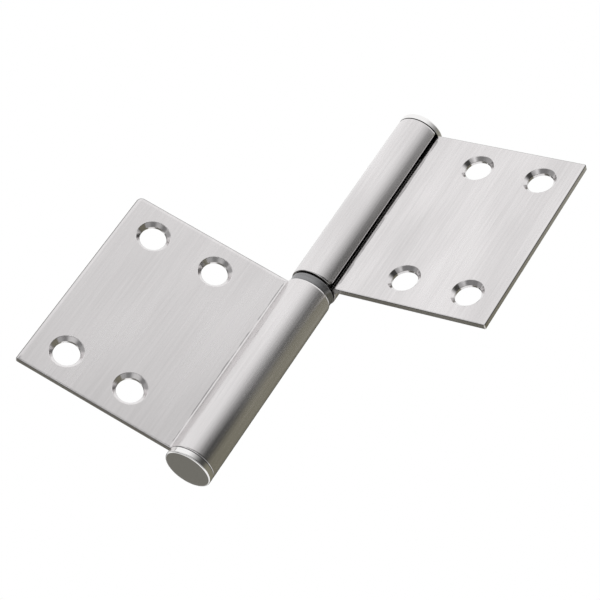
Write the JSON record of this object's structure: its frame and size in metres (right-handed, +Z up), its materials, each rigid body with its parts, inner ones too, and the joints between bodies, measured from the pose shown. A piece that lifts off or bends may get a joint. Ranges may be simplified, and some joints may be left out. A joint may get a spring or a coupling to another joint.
{
  "type": "lift off hinge",
  "caption": "Lift off hinge of brushed stainless steel: flat leaves with countersunk screw holes, rolled round a pin, the upper leaf free to swing and to lift off.",
  "frame": {"origin": "centre of the lower leaf's four screw holes, on the leaf's back face", "axes": "+Z up along the pin, towards the lift off side; -Y out of the lower leaf's countersunk face; the lower leaf reaches towards -X from the pin"},
  "size_m": [0.0831, 0.0268, 0.1057],
  "materials": {
    "leaf_steel": "fine brushed sheet, grain along the pin",
    "pin_steel": "ground bar",
    "ring_steel": "turned",
    "plug_steel": "turned"
  },
  "bodies": {
    "lower": {"lower_leaf": "leaf_steel", "pintle_pin": "pin_steel", "lower_end_plug": "plug_steel"},
    "ring": {"thrust_ring": "ring_steel"},
    "upper": {"upper_leaf": "leaf_steel", "upper_end_plug": "plug_steel"}
  },
  "joints": [
    {"name": "swing", "type": "hinge", "parent": "lower", "child": "ring", "pos_m": [0.0279, -0.0001, 0.025], "axis": [0, 0, 1], "continuous": true},
    {"name": "lift_off", "type": "slide", "parent": "ring", "child": "upper", "axis": [0, 0, 1], "range_m": [0, 0.046]}
  ]
}
